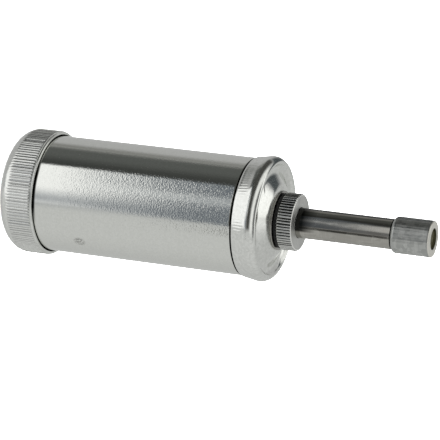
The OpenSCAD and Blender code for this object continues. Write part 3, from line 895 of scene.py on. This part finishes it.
studio = {"up": upward, "toCamera": (0.332, -0.9434, 0.0), "white": 3.0, "far": 0.48}
panels = [
    {"name": "table", "round": (-176, -5), "along": (-90, 66), "soft": (10, 8), "light": (0.64, 0.645, 0.64)},
    {"name": "table's far side", "round": (-215, -95), "along": (-90, 66), "soft": (80, 8),
     "light": (0.54, 0.545, 0.54)},
    {"name": "ceiling", "round": (76, 124), "along": (-34, 20), "soft": (4, 10),
     "light": (0.11, 0.115, 0.11)},
    {"name": "ceiling's front", "round": (60, 92), "along": (-34, 20), "soft": (24, 10),
     "light": (0.055, 0.058, 0.055)},
    {"name": "front wall", "round": (-4, 75), "along": (-90, -23.2), "soft": (6, 1.4),
     "light": (1.12, 1.12, 1.12)},
    {"name": "front wall foot", "round": (-4, 17), "along": (-33, -23.2), "soft": (30, 5),
     "light": (0.38, 0.40, 0.43)},
    {"name": "front wall's far end", "round": (-4, 75), "along": (-100, -74), "soft": (6, 14),
     "light": (0.42, 0.43, 0.44)},
    {"name": "dim strip", "round": (-4, 75), "along": (-23.2, -17), "soft": (5, 1.4),
     "light": (0.17, 0.19, 0.215)},
    {"name": "dim strip's core", "round": (33, 47), "along": (-23.2, -17), "soft": (16, 1.4),
     "light": (0.44, 0.46, 0.48)},
    {"name": "strip light", "round": (20, 60), "along": (-17, -12), "soft": (16, 1.6),
     "light": (0.95, 0.95, 0.95)},
    {"name": "strip light foot", "round": (-6, 18), "along": (-17, -12), "soft": (10, 1.6),
     "light": (0.26, 0.26, 0.26)},
    {"name": "tube's dark line", "round": (-25, -7), "along": (-18.9, -15.9), "soft": (8, 1.0),
     "light": (0.06, 0.06, 0.055)},
    {"name": "ceiling edge", "round": (122, 136), "along": (-34, 20), "soft": (14, 10),
     "light": (0.26, 0.26, 0.25)},
    {"name": "camera room", "round": (-5, 150), "along": (-11, 18), "soft": (10, 12),
     "light": (0.07, 0.07, 0.065)},
    {"name": "key light", "round": (-12, 140), "along": (27, 50), "soft": (20, 10),
     "light": (0.95, 0.95, 0.93)},
    {"name": "end light", "round": (-200, 200), "along": (72, 110), "soft": (1, 30),
     "light": (0.98, 0.98, 0.97)},
    {"name": "gap over the key light", "round": (-40, 110), "along": (54, 72), "soft": (24, 9),
     "light": (0.16, 0.16, 0.16)},
    {"name": "back light", "round": (122, 200), "along": (48, 95), "soft": (30, 12),
     "light": (1.2, 1.2, 1.18)},
    {"name": "back light below", "round": (-200, -168), "along": (48, 95), "soft": (24, 12),
     "light": (1.2, 1.2, 1.18)},
]

# dark card behind the gun, which the front cap's face mirrors

cardShape = {
    "place": (-0.055, 0.040, 0.138), "size": (0.054, 0.090, 1), "soft": 0.24, "dark": (0.075, 0.085, 0.09, 1),
    "edges": (("X", 0.14, True), ("X", 0.86, False), ("Y", 0.12, True), ("Y", 0.88, False)),
}
deselectAll()
bpy.ops.mesh.primitive_plane_add(size=1, location=cardShape["place"], rotation=(math.pi / 2, 0, 0))
darkCard = bpy.context.object
darkCard.name = "darkCard"
darkCard.scale = cardShape["size"]
darkCard.visible_camera = False
darkCard.visible_diffuse = False
darkCard.visible_shadow = False


def softStep(tree, value, x, y, edge, soft, rising):
    made = nodeAt(tree, "ShaderNodeMapRange", x, y, interpolation_type="SMOOTHSTEP")
    made.inputs["From Min"].default_value = edge - soft / 2
    made.inputs["From Max"].default_value = edge + soft / 2
    made.inputs["To Min"].default_value = 0.0 if rising else 1.0
    made.inputs["To Max"].default_value = 1.0 if rising else 0.0
    tree.links.new(value, made.inputs["Value"])
    return made.outputs[0]


def makeCard():
    made, tree = startFinish("darkCard")[:2]
    tree.nodes.clear()
    coords = nodeAt(tree, "ShaderNodeTexCoord", -1000, 0)
    split = nodeAt(tree, "ShaderNodeSeparateXYZ", -800, 0)
    tree.links.new(coords.outputs["Generated"], split.inputs[0])
    cover = None
    for i, (axis, edge, rising) in enumerate(cardShape["edges"]):
        mask = softStep(tree, split.outputs[axis], -600, -200 * i, edge, cardShape["soft"], rising)
        cover = mask if cover is None else mathNode(tree, "MULTIPLY", -400, -200 * i, cover, mask)
    clear = nodeAt(tree, "ShaderNodeBsdfTransparent", -200, 0)
    dark = nodeAt(tree, "ShaderNodeEmission", -200, -200)
    dark.inputs["Color"].default_value = cardShape["dark"]
    mix = nodeAt(tree, "ShaderNodeMixShader", 0, 0)
    tree.links.new(cover, mix.inputs[0])
    tree.links.new(clear.outputs[0], mix.inputs[1])
    tree.links.new(dark.outputs[0], mix.inputs[2])
    out = nodeAt(tree, "ShaderNodeOutputMaterial", 200, 0)
    tree.links.new(mix.outputs[0], out.inputs["Surface"])
    darkCard.data.materials.append(made)


def makeStudio():
    world = bpy.data.worlds.new("studio")
    bpy.context.scene.world = world
    world.use_nodes = True
    world.cycles.sampling_method = "NONE"  # reflections and even light differ, so only the rays decide
    tree = world.node_tree
    tree.nodes.clear()
    coords = nodeAt(tree, "ShaderNodeTexCoord", -1600, 0)
    sides = []
    for i, key in enumerate(("up", "toCamera")):
        dot = nodeAt(tree, "ShaderNodeVectorMath", -1400, -200 * i, operation="DOT_PRODUCT")
        dot.inputs[1].default_value = studio[key]
        tree.links.new(coords.outputs["Generated"], dot.inputs[0])
        sides.append(dot.outputs["Value"])
    split = nodeAt(tree, "ShaderNodeSeparateXYZ", -1400, -400)
    tree.links.new(coords.outputs["Generated"], split.inputs[0])
    around = mathNode(tree, "DEGREES", -1000, 0, mathNode(tree, "ARCTAN2", -1200, 0, sides[0], sides[1]))
    along = mathNode(tree, "DEGREES", -1000, -300, mathNode(tree, "ARCSINE", -1200, -300, split.outputs["Z"]))
    light = nodeAt(tree, "ShaderNodeRGB", -800, 300)
    light.outputs[0].default_value = (studio["far"],) * 3 + (1,)
    light = light.outputs[0]
    for i, panel in enumerate(panels):
        y = -400 * i
        masks = []
        for value, key, soft in ((around, "round", panel["soft"][0]), (along, "along", panel["soft"][1])):
            low, high = panel[key]
            masks.append(softStep(tree, value, -800, y, low, soft, True))
            masks.append(softStep(tree, value, -800, y - 150, high, soft, False))
        cover = mathNode(tree, "MULTIPLY", -400, y, mathNode(tree, "MULTIPLY", -600, y, masks[0], masks[1]),
                         mathNode(tree, "MULTIPLY", -600, y - 150, masks[2], masks[3]))
        light = shade(tree, light, cover, -200, y, panel["light"])
    mirrored = nodeAt(tree, "ShaderNodeBackground", 100, 0)
    tree.links.new(light, mirrored.inputs["Color"])
    even = nodeAt(tree, "ShaderNodeBackground", 100, -200)
    even.inputs["Color"].default_value = (1, 1, 1, 1)
    even.inputs["Strength"].default_value = studio["white"]
    path = nodeAt(tree, "ShaderNodeLightPath", 100, 400)
    mix = nodeAt(tree, "ShaderNodeMixShader", 350, 0)
    tree.links.new(path.outputs["Is Glossy Ray"], mix.inputs[0])
    tree.links.new(even.outputs[0], mix.inputs[1])
    tree.links.new(mirrored.outputs[0], mix.inputs[2])
    out = nodeAt(tree, "ShaderNodeOutputWorld", 550, 0)
    tree.links.new(mix.outputs[0], out.inputs["Surface"])


makeCard()
makeStudio()
bpy.context.scene.view_settings.view_transform = "Standard"
